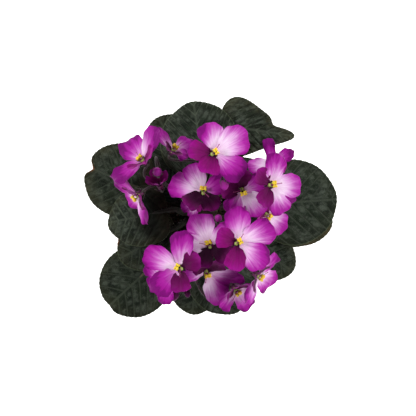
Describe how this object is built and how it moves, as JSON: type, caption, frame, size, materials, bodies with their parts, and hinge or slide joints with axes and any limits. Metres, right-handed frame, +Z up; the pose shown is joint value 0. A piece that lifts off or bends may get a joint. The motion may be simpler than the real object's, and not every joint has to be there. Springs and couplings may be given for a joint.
{
  "type": "potted african violet",
  "caption": "Potted flowering house plant: a low rosette of round dark velvety leaves under a cluster of magenta and white five-lobed flowers, in a plain tapered pot.",
  "frame": {"origin": "middle of the flat underside of the pot", "axes": "+Z up; +Y towards the back of the plant, the upper edge of a view from straight above"},
  "size_m": [0.1771, 0.155, 0.1615],
  "materials": {
    "pot": "satin terracotta-coloured plastic",
    "soil": "moist dark peat with pale grit",
    "stem": "dull green stem with fine hairs",
    "leaf": "very dark green velvet with short pale hairs",
    "petal": "thin petals, white at the throat, streaked to magenta at the edge",
    "stamen": "bright yellow, finely grained",
    "bud": "dark magenta with fine hairs",
    "flower_stalk": "purple-brown, covered in pale hairs"
  },
  "bodies": {
    "root": {"pot": "pot", "soil": "soil", "crown": "stem", "leaf_01": "leaf", "leaf_02": "leaf", "leaf_03": "leaf", "leaf_04": "leaf", "leaf_05": "leaf", "leaf_06": "leaf", "leaf_07": "leaf", "leaf_08": "leaf", "leaf_09": "leaf", "leaf_10": "leaf", "leaf_11": "leaf", "leaf_12": "leaf", "leaf_13": "leaf", "leaf_14": "leaf", "leaf_15": "leaf", "flower_01": "petal", "flower_02": "petal", "flower_03": "petal", "flower_04": "petal", "flower_05": "petal", "flower_06": "petal", "flower_07": "petal", "flower_08": "petal", "flower_09": "petal", "flower_10": "petal", "flower_11": "petal", "flower_12": "petal", "flower_13": "petal", "flower_14": "petal", "flower_15": "petal", "flower_16": "petal", "flower_17": "petal", "flower_18": "petal", "stamens_01": "stamen", "stamens_02": "stamen", "stamens_03": "stamen", "stamens_04": "stamen", "stamens_05": "stamen", "stamens_06": "stamen", "stamens_08": "stamen", "stamens_09": "stamen", "stamens_10": "stamen", "stamens_11": "stamen", "stamens_12": "stamen", "stamens_13": "stamen", "stamens_14": "stamen", "stamens_15": "stamen", "bud_01": "bud", "bud_02": "bud", "bud_03": "bud", "bud_04": "bud", "bud_05": "bud", "stalk_left": "flower_stalk", "stalk_back": "flower_stalk", "stalk_right": "flower_stalk", "stalk_middle": "flower_stalk", "stalk_front": "flower_stalk"}
  },
  "joints": []
}
